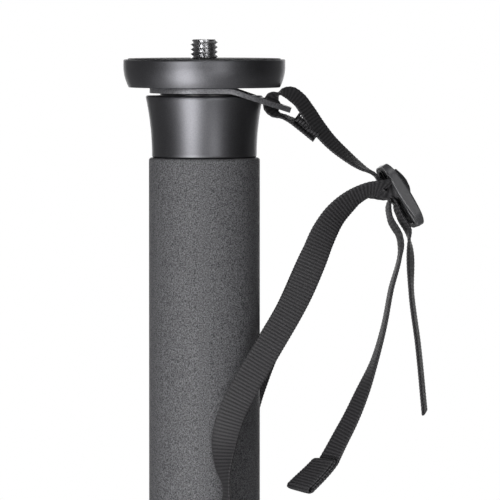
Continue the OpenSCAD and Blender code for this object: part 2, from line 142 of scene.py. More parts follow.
def soft_light(name, azimuth, height, distance, width, tall, watts):
    """A rectangular softbox facing the head. Azimuth and height are angles in degrees seen from the head, with
    azimuth 0 towards the camera and growing to the right: way = (sin a cos h, -cos a cos h, sin h)."""
    a, h = math.radians(azimuth), math.radians(height)
    way = np.array([math.sin(a) * math.cos(h), -math.cos(a) * math.cos(h), math.sin(h)])
    data = bpy.data.lights.new(name, "AREA")
    data.shape = "RECTANGLE"
    data.size = width
    data.size_y = tall
    data.energy = watts
    lamp = bpy.data.objects.new(name, data)
    scene.collection.objects.link(lamp)
    look_from(lamp, HEAD + distance * way, HEAD)


# Name, azimuth and height in degrees, distance, width and height of the box in metres, power in watts.
soft_light("key_softbox", -28, -9, 1.1, 0.46, 0.5, 5.6)
soft_light("low_card", -29, -32, 0.66, 0.3, 0.2, 1.6)
soft_light("right_softbox", 22, -4, 1.1, 0.32, 0.5, 1.9)
soft_light("top_softbox", 8, 58, 1.2, 0.6, 0.6, 4)
soft_light("left_fill", -95, 0, 1.4, 1.0, 1.0, 0.2)
soft_light("back_softbox", 178, 4, 1.5, 1.4, 0.8, 7)

world = bpy.data.worlds.new("white_paper")
scene.world = world
world.use_nodes = True
sky = world.node_tree
sky.nodes.clear()
ray = node(sky, "ShaderNodeLightPath")
way = node(sky, "ShaderNodeTexCoord")
parts = node(sky, "ShaderNodeSeparateXYZ", [("Vector", way.outputs["Generated"])])
behind = node(sky, "ShaderNodeMapRange", [("Value", parts.outputs["Y"]), ("From Min", 0.1), ("From Max", 0.7),
                                          ("To Min", PAPER_ASIDE), ("To Max", PAPER_BEHIND)])
# Reflections see the paper at twice that strength: behind * glossy + behind.
shine = node(sky, "ShaderNodeMath", [(0, ray.outputs["Is Glossy Ray"]), (1, behind.outputs["Result"]),
                                     (2, behind.outputs["Result"])], operation="MULTIPLY_ADD")
seen = node(sky, "ShaderNodeMath", [(0, shine.outputs["Value"]), (1, ray.outputs["Is Camera Ray"])],
            operation="MAXIMUM")
clear = node(sky, "ShaderNodeMath", [(0, seen.outputs["Value"]), (1, ray.outputs["Is Transmission Ray"])],
             operation="MAXIMUM")
paper = node(sky, "ShaderNodeBackground", [("Color", (1, 1, 1, 1)), ("Strength", clear.outputs["Value"])])
node(sky, "ShaderNodeOutputWorld", [("Surface", paper.outputs["Background"])])

# %% [markdown]
# ## Surfaces as grids
# Nearly everything here is a round turned part or a strap. Both are a ring of points carried along a
# path, so one function that joins a grid of points into faces makes them all, with no modelling by hand.


# %% Grid to mesh
def ring_surface(name, points, closed_path, uv=None):
    """Mesh from points[path, ring, xyz]: the ring always closes, the path closes or its ends get caps. The
    faces are turned outwards by the sign of the volume, the sum of p0 . (p1 x p2) over the triangles."""
    rows, cols = points.shape[:2]
    index = np.arange(rows * cols).reshape(rows, cols)
    ahead = np.roll(index, -1, axis=0) if closed_path else index[1:]
    here = index if closed_path else index[:-1]
    quads = np.stack([here, np.roll(here, -1, 1), np.roll(ahead, -1, 1), ahead], -1).reshape(-1, 4)
    flat = points.reshape(-1, 3)
    q = (flat - flat.mean(0))[quads]
    volume = (np.cross(q[:, 0], q[:, 1]) * q[:, 2]).sum() + (np.cross(q[:, 0], q[:, 2]) * q[:, 3]).sum()
    caps = [] if closed_path else [index[0, ::-1], index[-1]]
    way = 1 if volume > 0 else -1
    faces = quads[:, ::way].tolist() + [c[::way].tolist() for c in caps]
    mesh = bpy.data.meshes.new(name)
    mesh.from_pydata(flat, [], faces)
    mesh.polygons.foreach_set("use_smooth", np.ones(len(faces), dtype=bool))
    if uv is not None:
        corner = np.zeros(len(mesh.loops), dtype=np.int32)
        mesh.loops.foreach_get("vertex_index", corner)
        layer = mesh.uv_layers.new(name="run")
        layer.data.foreach_set("uv", uv.reshape(-1, 2)[corner].ravel().astype(np.float32))
    mesh.update()
    piece = bpy.data.objects.new(name, mesh)
    scene.collection.objects.link(piece)
    return piece


def unit(v):
    """Each vector over its length."""
    return v / np.linalg.norm(v, axis=-1, keepdims=True)


def rounded(corners, radii, steps=6):
    """Closed outline with each corner replaced by an arc: for a corner p between unit ways a and b, the arc
    starts r * tan(turn / 2) before p and bends through the turn. A point a little outside each end of the arc
    keeps the shading of the flats flat."""
    p = np.asarray(corners, float)
    out = []
    for i, r in enumerate(radii):
        a = unit(p[i] - p[i - 1])
        b = unit(p[(i + 1) % len(p)] - p[i])
        turn = math.atan2(a[0] * b[1] - a[1] * b[0], a @ b)
        if r == 0 or abs(turn) < 1e-3:
            out.append(p[i][None])
            continue
        start = p[i] - a * r * abs(math.tan(turn / 2))
        side = np.array([-a[1], a[0]]) * math.copysign(r, turn)
        t = np.linspace(0, turn, steps)[:, None]
        spin = np.array([[-side[1], side[0]]])
        arc = start + side - side * np.cos(t) - spin * np.sin(t)
        lead = 0.3 * r
        out += [arc[:1] - a * lead, arc, arc[-1:] + b * lead]
    return np.concatenate(out)


def turned(name, outline, around=192):
    """A lathe part: each outline point (r, z), in millimetres, goes round Z as (r cos a, r sin a, z)."""
    a = np.linspace(0, 2 * np.pi, around, endpoint=False)[:, None]
    r, z = outline[:, 0][None], outline[:, 1][None]
    points = np.stack([r * np.cos(a), r * np.sin(a), z + 0 * a], -1) * MM
    return ring_surface(name, points, closed_path=True)


def even(points, step):
    """Points spaced evenly along a broken line, in about the given step."""
    run = np.concatenate([[0], np.cumsum(np.linalg.norm(np.diff(points, axis=0), axis=1))])
    at = np.linspace(0, run[-1], int(run[-1] / step) + 1)
    return np.stack([np.interp(at, run, points[:, k]) for k in range(points.shape[1])], 1)


def node_box(name):
    """Lowest and highest corner of a CAD node, in millimetres."""
    return np.array(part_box(name)) / MM


print("helpers ready")

# %% [markdown]
# ## Webbing
# A wrist strap is narrow-woven nylon: thick weft yarns make ribs straight across it, and the edges bulge
# a little where the yarn turns back. A bump map could fake the ribs, but the strap is seen edge-on too, so
# the ribs are real: the thickness swells once per rib along the run.
# The route's points are the ones the solid follows. Each row adds the way the width lies, the thickness, and
# how far the edges curl where the strap is drawn tight over a bar.

# %% The routes
WEBBING_W = 9.5
WEBBING_T = 1.2
HEM_T = 3.4
RIB = 1.15
TURN, LEAN = math.radians(58), math.radians(12)
SLIDER = np.array([66.4, -2.0, -46.6])
ALONG = np.array([math.cos(TURN), 0, -math.sin(TURN)])
ACROSS = np.array([-math.sin(TURN) * math.sin(LEAN), math.cos(LEAN), -math.cos(TURN) * math.sin(LEAN)])
OUT = np.array([math.sin(TURN) * math.cos(LEAN), math.sin(LEAN), math.cos(TURN) * math.cos(LEAN)])


def row(point, width, thick=WEBBING_T, curl=0.0):
    """One row of a route, in millimetres."""
    return [*point, *width, thick, curl]


def slider_row(s, q, n, width=ALONG, curl=0.0):
    """A row given in the slider's own axes: along its slots, across its bars, out of its face."""
    return row(SLIDER + s * ALONG + q * ACROSS + n * OUT, width, WEBBING_T, curl)


link_rows = [
    row([38, 0, -26.6], [0.3, 0.92, 0.25]), row([33, 0, -23], [0.25, 0.95, 0.2]),
    row([27.5, 0, -20], [0.2, 0.97, 0.05]), row([24.2, 0, -18.6], [0.42, 0.9, 0]),
    row([22.9, 0, -16], [0.6, 0.8, 0]), row([23.6, 0, -13.2], [0.5, 0.86, -0.1]),
    row([26, 0, -11.7], [0.3, 0.92, 0.2]), row([29, 0, -11.8], [0.3, 0.88, 0.36]),
    row([32, 0, -13.8], [0.34, 0.88, 0.36]), row([35, 0, -17.8], [0.42, 0.86, 0.3]),
    row([38.4, 0, -22.9], [0.42, 0.86, 0.3]), row([42.4, 0, -27.8], [0.36, 0.9, 0.3]),
    row([48, -0.8, -32.9], [0.25, 0.95, 0.25]), row([54, -2.4, -37.4], [0.1, 1, 0.1]),
    row([58, -4.2, -39.6], [0.1, 1, -0.2]), slider_row(-3.4, -1.7, -4.2, 0.3 * ALONG + ACROSS),
    slider_row(-2.8, -1.9, -1.8, ALONG + 0.6 * ACROSS), slider_row(-2.8, -2, 0), slider_row(-2.4, -1.6, 1.6),
    slider_row(-1.8, 0, 2.2, ALONG, 0.5), slider_row(-1.2, 1.6, 1.6), slider_row(-0.8, 1.95, 0),
    slider_row(1, 1.95, -2, 0.4 * ALONG + ACROSS), slider_row(6, 1.6, -3.4, 0.1 * ALONG + ACROSS),
    slider_row(11.5, 2.2, -3.6, ACROSS), row([69.7, -0.6, -63], [0.12, 1, 0]),
    row([70.4, -1, -80], [0.16, 1, 0]), row([72.6, -1.3, -97], [0.17, 1, 0]),
    row([74.9, -1.6, -120.4], [0.18, 1, 0]),
]
loop_rows = [
    slider_row(-8.6, 6, -8, 0.25 * ALONG + ACROSS), slider_row(-5.6, 5.5, -3, 0.5 * ALONG + ACROSS),
    slider_row(-4.9, 5.35, 0), slider_row(-4.9, 5.25, 1.5), slider_row(-4.9, 5.9, 2.75),
    slider_row(-4.9, 7.6, 3), slider_row(-4.9, 9.6, 2.5), slider_row(-4.9, 10.1, 0),
    slider_row(-5.6, 9.9, -4.5, 0.5 * ALONG + ACROSS), slider_row(-8, 8.8, -8.5, 0.3 * ALONG + ACROSS),
    row([49, 7.4, -49], [0.42, 0.76, -0.5]), row([44.4, 10, -54], [0.6, 0.6, -0.52]),
    row([38.4, 12.6, -65.4], [0.85, 0.3, -0.45]),
    row([28, 20.4, -88.2], [0.8, 0.3, -0.5]), row([21.4, 23.4, -100.2], [0.8, 0.15, -0.5]),
    row([16.4, 24.4, -113], [0.88, 0, -0.42]),
    row([8, 23.8, -146], [0.95, 0, -0.3]), row([2, 23, -163], [0.9, -0.05, -0.45]),
    row([-7, 20.8, -176.4], [0.7, 0.23, -0.68]), row([-15.6, 14.9, -184.4], [0.33, 0.34, -0.88]),
    row([-20.6, 6, -187.6], [0.04, 0.13, -0.98]), row([-21, -4, -187.4], [0.04, -0.2, -0.97]),
    row([-16.6, -13.8, -183], [0.3, -0.38, -0.88]), row([-8.4, -21.2, -175.4], [0.6, -0.24, -0.75]),
    row([1, -23.8, -165.6], [0.8, -0.1, -0.58]), row([6.6, -24, -155], [0.6, -0.75, -0.25]),
    row([7.6, -23.7, -145], [0.2, -0.97, -0.05]), row([6.5, -23.2, -136.3], [0.6, -0.8, -0.05]),
    row([7, -22.4, -128], [0.9, -0.4, -0.1]), row([9.6, -21.8, -118.6], [0.94, -0.08, -0.32]),
    row([14.6, -21.4, -108.8], [0.88, 0, -0.46]), row([21, -20.6, -98], [0.86, 0, -0.5]),
    row([32.7, -17, -77.2], [0.9, 0, -0.44]),
    row([36.6, -15.2, -68.2], [0.92, 0.1, -0.4]), row([40.6, -13, -58.6], [0.8, 0.35, -0.5]),
    row([44.8, -11.6, -52], [0.6, 0.6, -0.52]), row([50, -10.8, -47.2], [0.42, 0.76, -0.5]),
    row([56, -10, -44.2], [0.3, 0.85, -0.45]), row([60, -8.9, -43.6], [0.3, 0.85, -0.45]),
    slider_row(-4.7, -4.5, -3.4, 0.6 * ALONG + ACROSS), slider_row(-4.4, -3.8, 0),
    slider_row(-4, -3, 2.7, ALONG, 0.6), slider_row(-3.2, 0, 4.3, ALONG, 1.7),
    slider_row(-2.4, 3, 2.7, ALONG, 0.6), slider_row(-1.6, 3.6, 0),
    slider_row(-0.8, 3.6, -2.6, 0.35 * ALONG + ACROSS), slider_row(4.8, 3, -6.4, 0.15 * ALONG + ACROSS),
    slider_row(11, 2.6, -7, ACROSS),
    row([66.6, 1.4, -65], [-0.08, 1, 0]), row([63.4, 1, -79], [-0.1, 1, 0]), row([61, 0.4, -91.5], [-0.12, 1, 0]),
    row([57.6, -0.2, -103.6], [-0.2, 0.98, 0.05]), row([53.6, -0.8, -113.8], [-0.4, 0.9, 0.15]),
    row([48.8, -1.4, -124.4], [-0.47, 0.84, 0.25]), row([42.6, -2, -135], [-0.48, 0.8, 0.34]),
    row([41.4, -2.1, -136.7], [-0.48, 0.8, 0.34], HEM_T), row([31.6, -2.6, -147], [-0.5, 0.75, 0.4], HEM_T),
]
print("rows:", len(link_rows), len(loop_rows))

# %% [markdown]
# The rows are joined by a smooth curve, and a flat ring with round edges is carried along it. A curve object with a
# bevel could do that too, but it picks its own twist, and a strap's twist is what the eye follows. Here each row
# says how the width lies.

# %% Smooth line and ribbon
RING_POINTS = 28
EDGE_POWER, FACE_POWER = 0.55, 0.45
GROOVE, NIP = 0.08, 0.012
CUT_L, CUT_SHEAR = 3, -0.14


def smooth_line(rows, step):
    """Even samples on a cubic through the rows. Slopes are the mean of the two chords' slopes, each weighted by
    the other chord's length, and each stretch is a Hermite cubic in its share t of the chord."""
    p = np.asarray(rows, float)
    chord = np.linalg.norm(np.diff(p[:, :3], axis=0), axis=1)
    at = np.concatenate([[0], np.cumsum(chord)])
    pace = np.diff(p, axis=0) / chord[:, None]
    inner = (pace[:-1] * chord[1:, None] + pace[1:] * chord[:-1, None]) / (chord[1:] + chord[:-1])[:, None]
    slope = np.concatenate([pace[:1], inner, pace[-1:]])

    def curve(u):
        i = np.clip(np.searchsorted(at, u, side="right") - 1, 0, len(chord) - 1)
        t = ((u - at[i]) / chord[i])[:, None]
        a, b, c = p[i], p[i + 1], chord[i][:, None]
        return (a * (1 + 2 * t) * (1 - t) ** 2 + b * t ** 2 * (3 - 2 * t)
                + slope[i] * c * t * (1 - t) ** 2 - slope[i + 1] * c * t ** 2 * (1 - t))

    fine = np.linspace(0, at[-1], 12000)
    run = np.concatenate([[0], np.cumsum(np.linalg.norm(np.diff(curve(fine)[:, :3], axis=0), axis=1))])
    count = int(run[-1] / step) + 1
    return curve(np.interp(np.linspace(0, run[-1], count), run, fine)), run[-1]


def sides(centre, wide):
    """Unit ways ahead, across and up of a ribbon: across is the given width less its part along the run."""
    ahead = unit(np.gradient(centre, axis=0))
    wide = unit(wide - (wide * ahead).sum(1, keepdims=True) * ahead)
    return ahead, wide, np.cross(ahead, wide)


def ribbon(name, centre, wide, thick, curl, shear):
    """Ribbed strap: at run length l the ring is w * W/2 * cos(a)^e + n * T/2 * sin(a)^e with signs kept, and the
    thickness shrinks by a sixth between ribs as (1 - cos(2 pi l / rib)). The edges drop by the curl times the
    square of their share of the half width, and a point moves by the shear times its place across."""
    ahead, wide, up = sides(centre, wide)
    run = np.concatenate([[0], np.cumsum(np.linalg.norm(np.diff(centre, axis=0), axis=1))])
    groove = 1 - np.cos(2 * np.pi * run / RIB)
    a = np.linspace(0, 2 * np.pi, RING_POINTS, endpoint=False)
    across = np.sign(np.cos(a)) * np.abs(np.cos(a)) ** EDGE_POWER * WEBBING_W / 2
    through = np.sign(np.sin(a)) * np.abs(np.sin(a)) ** FACE_POWER / 2
    drop = curl[:, None] * (across[None] / (WEBBING_W / 2)) ** 2
    points = (centre[:, None] + wide[:, None] * (across[None] * (1 - NIP * groove)[:, None])[..., None]
              + up[:, None] * (through[None] * (thick * (1 - GROOVE * groove))[:, None] + drop)[..., None]
              + shear[:, None] * across[None, :, None])
    uv = np.stack(np.broadcast_arrays(run[:, None], across[None]), -1)
    return ring_surface(name, points * MM, closed_path=False, uv=uv)


link_line, link_length = smooth_line(link_rows, RIB / 6)
loop_line, loop_length = smooth_line(loop_rows, RIB / 6)
link_run = np.linspace(0, link_length, len(link_line))[:, None]
near_cut = np.clip((link_run - link_length + CUT_L) / CUT_L, 0, 1)
cut = CUT_SHEAR * near_cut * sides(link_line[:, :3], link_line[:, 3:6])[0]
link = ribbon("strap_link_webbing", link_line[:, :3], link_line[:, 3:6], link_line[:, 6], link_line[:, 7], cut)
print("lengths in mm:", round(link_length, 1), round(loop_length, 1))

# %% [markdown]
# ## Hem
# The long strap ends in a hem: the webbing is turned back on itself, tucked under and pressed, so that three
# layers lie on each other and a round fold closes the end. A thick block would hide that, so the strap runs on
# as the rear layer and a second ribbon draws the fold, a little out of square as a hand folds it.

# %% Fold of the hem
HEM_SKEW = 0.4
HEM_LEAD = 12
FOLD_T = 1.1
STRAP_SHORT = 1.7
END_IN, END_R = 1.75, 1.15
TUCK_IN, TUCK_R = 0.6, 0.575
UNDER_SHORT = 2.5
ahead, wide, up = sides(loop_line[:, :3], loop_line[:, 3:6])
loop_run = np.linspace(0, loop_length, len(loop_line))
hem_start = loop_run[np.argmax(loop_line[:, 6] > HEM_T - 0.05)]
HEM_L = loop_length - hem_start
near_hem = np.clip((loop_run - hem_start + HEM_LEAD) / HEM_LEAD, 0, 1)[:, None] ** 2
rear = loop_line[:, :3] + up * near_hem * (HEM_T - WEBBING_T) / 2
kept = loop_run < loop_length - STRAP_SHORT
loop = ribbon("wrist_strap_webbing", rear[kept], loop_line[kept, 3:6], np.full(kept.sum(), WEBBING_T),
              loop_line[kept, 7], (HEM_SKEW * near_hem * ahead)[kept])
t = np.linspace(-np.pi / 2, np.pi / 2, 14)[:, None]
half_turn = np.concatenate([np.cos(t), np.sin(t)], 1)
end_fold = [HEM_L - END_IN, 0] + END_R * half_turn
tuck = [TUCK_IN, TUCK_R] - TUCK_R * half_turn
fold_way = even(np.concatenate([end_fold, tuck, [[HEM_L - UNDER_SHORT, 0]]]), RIB / 6)


def in_hem(values):
    """Values of the strap's samples at the fold's run lengths."""
    return np.stack([np.interp(hem_start + fold_way[:, 0], loop_run, values[:, k]) for k in range(3)], 1)


fold = ribbon("hem_fold_webbing", in_hem(loop_line[:, :3]) - in_hem(up) * fold_way[:, 1:], in_hem(wide),
              np.full(len(fold_way), FOLD_T), np.zeros(len(fold_way)), HEM_SKEW * in_hem(ahead))
print("hem length in mm:", round(HEM_L, 1))

# %% [markdown]
# ## Seam
# The short strap is sewn to itself behind the bail with a whip stitch: a thick thread wound round the layers. A row
# of separate stitches would do, but a real one is a single thread, and one coil gives it in one formula.


# %% Whip stitch
def coil(name, start, end, half, turns, thread_d):
    """Thread wound on an oval from start to end: p(t) = start + (end - start) t + k half[0] side cos(w)
    + half[1] y sin(w), with w = 2 pi turns t. The factor k, 1 + 0.2 cos(w / 3) + 0.12 sin(0.71 w), makes no two
    turns alike, as a hand draws them."""
    start, end = np.array(start), np.array(end)
    t = np.linspace(0, 1, int(turns * 28))[:, None]
    side = unit(np.cross(end - start, [0, 1, 0]))
    w = 2 * np.pi * turns * t
    loose = 1 + 0.2 * np.cos(w / 3) + 0.12 * np.sin(w * 0.71)
    sway = loose * half[0] * side * np.cos(w) + half[1] * np.array([0, 1, 0]) * np.sin(w)
    centre = start + (end - start) * t + sway
    ahead = unit(np.gradient(centre, axis=0))
    over = unit(np.cross(ahead, unit(end - start)))
    a = np.linspace(0, 2 * np.pi, 10, endpoint=False)[None, :, None]
    ring = np.cos(a) * over[:, None] + np.sin(a) * np.cross(ahead, over)[:, None]
    uv = np.stack(np.broadcast_arrays(t * 60, a[..., 0]), -1)
    return ring_surface(name, (centre[:, None] + ring * thread_d / 2) * MM, closed_path=False, uv=uv)


seam = coil("seam_whip_stitch", start=[31.4, 0, -20.0], end=[38.3, 0, -26.2], half=[1.15, 4.3], turns=9,
            thread_d=0.95)
for piece, stands_for in ((link, ["strap_link"]), (loop, ["wrist_strap"]), (fold, ["wrist_strap"]), (seam, [])):
    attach(piece, "strap_swivel")
    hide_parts(*stands_for)
print("sewn pieces:", fold.name, seam.name)

# %% [markdown]
# ## Ring
# The ring is pressed from sheet and tumbled, which takes the edges off. A sharp edge never catches the light, so the
# ring is a copy of its solid with the edges rounded by a Bevel, after the copy's doubled points are welded.


# %% Softened ring
def softened(node_name, name, width, segments=3):
    """A merged copy of a CAD node's mesh with its sharp edges rounded to the given width in millimetres."""
    source = frame["nodes"][node_name]
    mesh = source.data.copy()
    mesh.name = name
    piece = bpy.data.objects.new(name, mesh)
    scene.collection.objects.link(piece)
    weld = piece.modifiers.new("weld", "WELD")
    weld.merge_threshold = 1e-6
    bevel = piece.modifiers.new("edge", "BEVEL")
    bevel.width = width * MM
    bevel.segments = segments
    bevel.limit_method = "ANGLE"
    bevel.angle_limit = math.radians(35)
    bevel.harden_normals = True
    mesh.polygons.foreach_set("use_smooth", np.ones(len(mesh.polygons), dtype=bool))
    mesh.materials.clear()
    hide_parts(node_name)
    return piece


ring = softened("strap_ring", "strap_ring_pressed", 0.4)
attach(ring, "strap_swivel")
print("softened:", ring.name)

# %% [markdown]
# ## Slider
# The slider is moulded, and it swells towards the middle of its bars, so that it looks like a lens from the side. A
# box with bevelled edges would miss that swell. So a rounded bar is carried round the frame's own outline, and its
# height depends on how far along the frame it is.

# %% Moulded slider
LENS_HALF_L = 12
BAR_HALF_W, BAR_BROADER = 0.9, 0.5
END_HALF_H, LENS_RISE = 0.85, 1.1


def slider_frame(name, half_l, half_w, corner):
    """Closed bar round a rounded rectangle (s, q): the section is a rounded rectangle of half width
    0.9 + 0.5 |q way|, and of half thickness 0.85 + 1.1 (1 - (s / 12)^2), so that it is a lens from the side."""
    outline = rounded([[half_l, -half_w], [half_l, half_w], [-half_l, half_w], [-half_l, -half_w]], [corner] * 4, 14)
    path = even(np.concatenate([outline, outline[:1]]), 0.4)[:-1]
    tangent = unit(np.roll(path, -1, 0) - np.roll(path, 1, 0))
    side = np.stack([tangent[:, 1], -tangent[:, 0]], 1)
    broad = BAR_HALF_W + BAR_BROADER * np.abs(side[:, 1])
    high = END_HALF_H + LENS_RISE * (1 - (path[:, 0] / LENS_HALF_L) ** 2)
    section = rounded([[1, -1], [1, 1], [-1, 1], [-1, -1]], [0.3] * 4)
    flat = path[:, None] + side[:, None] * (broad[:, None] * section[None, :, 0])[..., None]
    rise = high[:, None] * section[None, :, 1]
    points = SLIDER + flat[..., :1] * ALONG + flat[..., 1:] * ACROSS + rise[..., None] * OUT
    return ring_surface(name, points * MM, closed_path=True)


def slider_bar(name, half_l, radius):
    """Round middle bar along s: radius (cos a, sin a) across and out."""
    s = np.linspace(-half_l, half_l, 24)[:, None, None]
    a = np.linspace(0, 2 * np.pi, 24, endpoint=False)[None, :, None]
    return ring_surface(name, (SLIDER + s * ALONG + radius * (np.cos(a) * ACROSS + np.sin(a) * OUT)) * MM,
                        closed_path=False)


slider = slider_frame("slider_frame_moulded", half_l=11.05, half_w=7.6, corner=4.0)
slider_mid = slider_bar("slider_bar_moulded", half_l=10.8, radius=1.2)
for piece in (slider, slider_mid):
    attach(piece, "strap_swivel")
    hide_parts("strap_slider")
print("slider pieces:", slider.name, slider_mid.name)

# %% [markdown]
# ## Turned head
# Plate, pad, neck and grip are round, so each is one outline spun about the axis. The plate's flank
# bellies in towards its foot and the neck flares upwards, as the photo shows. The bores inside are the solids' own,
# so that the screw, the spigot and the tube have their room.

# %% Plate, pad, neck and grip
FLANK_IN, RIM_H = 1.8, 2.4
RING_ROOM, NECK_FOOT_R, NECK_BEVEL, SPIGOT_R = 2.8, 17.8, 0.5, 7
PAD_HOLE_R, PAD_ROOM, SPIGOT_ROOM, GRIP_ROUND = 4.85, 0.05, 0.03, 0.9
SCREW_BORE_R, SPIGOT_BORE_R, FLANGE_BORE_R, FLANGE_DEEP = 4.79, 7.03, 9.03, 1.5
TUBE_BORE_R, SOCKET_DEEP = 14.03, 15
low, high = node_box("camera_plate")
neck_low, neck_high = node_box("neck")
plate_r = high[0]
share = np.linspace(0, 1, 14)
flank_r = plate_r - FLANK_IN * (1 - share) ** 2
flank_z = low[2] + (high[2] - low[2] - RIM_H) * share
flank = np.stack([flank_r, flank_z], 1)
pad_low, pad_high = node_box("plate_pad")
step_r = pad_high[0] + PAD_ROOM
flange_z, spigot_z = pad_low[2] - FLANGE_DEEP, neck_high[2] + SPIGOT_ROOM
inside = [[plate_r, high[2]], [step_r, high[2]], [step_r, pad_low[2]], [FLANGE_BORE_R, pad_low[2]],
          [FLANGE_BORE_R, flange_z], [SCREW_BORE_R, flange_z], [SCREW_BORE_R, spigot_z], [SPIGOT_BORE_R, spigot_z],
          [SPIGOT_BORE_R, low[2]]]
plate = turned("camera_plate_turned", rounded(np.concatenate([flank, inside]),
                                              [0.25] + [0] * 13 + [0.45, 0.2] + [0] * 6 + [0.3]))
pad = turned("plate_pad_moulded", rounded(
    [[pad_high[0], pad_low[2]], [pad_high[0], pad_high[2]], [PAD_HOLE_R, pad_high[2]],
     [PAD_HOLE_R, pad_low[2]]], [0, 0.25, 0.25, 0]))

neck_top = low[2] - RING_ROOM
socket_z = neck_low[2] + SOCKET_DEEP
neck_r = neck_high[0]
flare_z = np.linspace(neck_low[2] + NECK_BEVEL, neck_top - NECK_BEVEL, 20)
flare_r = NECK_FOOT_R + (neck_r - NECK_FOOT_R) * ((flare_z - flare_z[0]) / (flare_z[-1] - flare_z[0])) ** 2
body = np.stack([flare_r, flare_z], 1)
# Each edge is softened by two points, the first 0.12 in and 0.2 from the end, the second 0.4 in and at the end.
rest = np.array([[neck_r - 0.12, neck_top - 0.2], [neck_r - 0.4, neck_top], [SPIGOT_R, neck_top],
                 [SPIGOT_R, neck_high[2]], [SCREW_BORE_R, neck_high[2]], [SCREW_BORE_R, socket_z],
                 [TUBE_BORE_R, socket_z], [TUBE_BORE_R, neck_low[2]], [NECK_FOOT_R - 0.4, neck_low[2]],
                 [NECK_FOOT_R - 0.12, neck_low[2] + 0.2]])
neck = turned("neck_turned", np.concatenate([body, rest]))

grip_low, grip_high = node_box("foam_grip")
grip = turned("foam_grip_skin", rounded(
    [[TUBE_BORE_R, grip_low[2]], [grip_high[0], grip_low[2]], [grip_high[0], grip_high[2]],
     [TUBE_BORE_R, grip_high[2]]],
    [0, GRIP_ROUND, GRIP_ROUND, 0], steps=8))
for piece, stands_for, slot in ((plate, "camera_plate", "anodised"), (pad, "plate_pad", "rubber"),
                                (neck, "neck", "anodised"), (grip, "foam_grip", "foam")):
    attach(piece, "head_section")
    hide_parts(stands_for)
print("turned pieces: plate, pad, neck, grip")

# %% [markdown]
# ## Camera screw
# The real screw is rolled from stainless rod: sixteen turns to the inch. Its thread is a groove whose depth
# depends on the height minus the turn's share of the pitch, so one formula on a grid draws it whole.

# %% Thread
PITCH = 25.4 / 16
THREAD_R = 9.525 / 2
THREAD_DEPTH = 0.95


def threaded(name, foot, top, flange_r, flange_z, flange_t, tip_h):
    """Rod of r(a, z) = R - depth * |2 frac(z / pitch - a / 2 pi) - 1| ** 0.8, with the tip bevelled and a flange."""
    below, above = np.linspace(foot, flange_z, 60), np.linspace(flange_z + flange_t, top, 110)
    z = np.concatenate([below, [flange_z, flange_z + flange_t], above])
    reach = np.zeros(len(z))
    reach[len(below):len(below) + 2] = flange_r
    a = np.linspace(0, 2 * np.pi, 96, endpoint=False)
    phase = np.mod(z[:, None] / PITCH - a[None] / (2 * np.pi), 1)
    r = THREAD_R - THREAD_DEPTH * np.abs(2 * phase - 1) ** 0.8
    bevel = THREAD_R - np.clip(z - (top - tip_h), 0, None)
    r = np.minimum(r, bevel[:, None])
    r = np.where(reach[:, None] > 0, reach[:, None], r)
    points = np.stack([r * np.cos(a), r * np.sin(a), z[:, None] + 0 * a], -1)
    return ring_surface(name, points * MM, closed_path=False)


screw_low, screw_high = node_box("camera_screw")
screw = threaded("camera_screw_rolled", foot=screw_low[2], top=screw_high[2], flange_r=screw_high[0],
                 flange_z=flange_z, flange_t=1.45, tip_h=0.8)
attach(screw, "head_section")
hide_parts("camera_screw")
print("thread pitch in mm:", round(PITCH, 3))

# %% [markdown]
# ## Finishes
# Each finish starts from what the material is and how it was made. Patterns read Object coordinates, which
# are metres here, so a grain of so many millimetres is a scale of one over that length. Most of these
# surfaces are an even grain, so one function builds them: the same noise moves colour, roughness and relief.


# %% Grained materials
def blank(name):
    """A node material with nothing in it yet."""
    made = bpy.data.materials.new(name)
    made.use_nodes = True
    made.node_tree.nodes.clear()
    return made, made.node_tree


def grained(name, grain, colours, rough, metallic=0.0, relief=0.0, detail=3.0, part=(0.3, 0.7), more=()):
    """Noise with lumps of about grain millimetres: the given part of its values goes from the first to the second
    colour and roughness, and its relief is in millimetres."""
    made, tree = blank(name)
    place = node(tree, "ShaderNodeTexCoord")
    noise = node(tree, "ShaderNodeTexNoise", [("Vector", place.outputs["Object"]), ("Scale", 1 / (grain * MM)),
                                              ("Detail", detail)])
    share = node(tree, "ShaderNodeMapRange", [("Value", noise.outputs["Fac"]), ("From Min", part[0]),
                                              ("From Max", part[1])])
    colour = node(tree, "ShaderNodeMix", [("Factor", share.outputs["Result"]), (6, linear(colours[0])),
                                          (7, linear(colours[1]))], data_type="RGBA")
    dull = node(tree, "ShaderNodeMapRange", [("Value", share.outputs["Result"]), ("To Min", rough[0]),
                                             ("To Max", rough[1])])
    shader = node(tree, "ShaderNodeBsdfPrincipled", [("Base Color", colour.outputs[2]), ("Metallic", metallic),
                                                     ("Roughness", dull.outputs["Result"]), *more])
    if relief:
        rise = node(tree, "ShaderNodeBump", [("Height", noise.outputs["Fac"]), ("Distance", relief * MM),
                                             ("Strength", 0.5)])
        tree.links.new(rise.outputs["Normal"], shader.inputs["Normal"])
    node(tree, "ShaderNodeOutputMaterial", [("Surface", shader.outputs["BSDF"])])
    return made


# Black anodised aluminium, bead-blasted: an even, dry satin with broad soft highlights.
anodised = grained("anodised_aluminium_blasted_black", 0.35, ("#626265", "#707074"), (0.39, 0.47), metallic=1.0,
                   relief=0.01)
# Stainless rod with a rolled thread: bright, with a little drawn grain.
steel = grained("stainless_steel_rolled", 0.5, ("#cdcdcf", "#ededef"), (0.22, 0.34), metallic=1.0)
# Pressed steel, painted black: a low gloss with the slight waves of sprayed paint.
painted = grained("pressed_steel_painted_black", 0.6, ("#59595c", "#848487"), (0.44, 0.48), metallic=0.7,
                  relief=0.02)
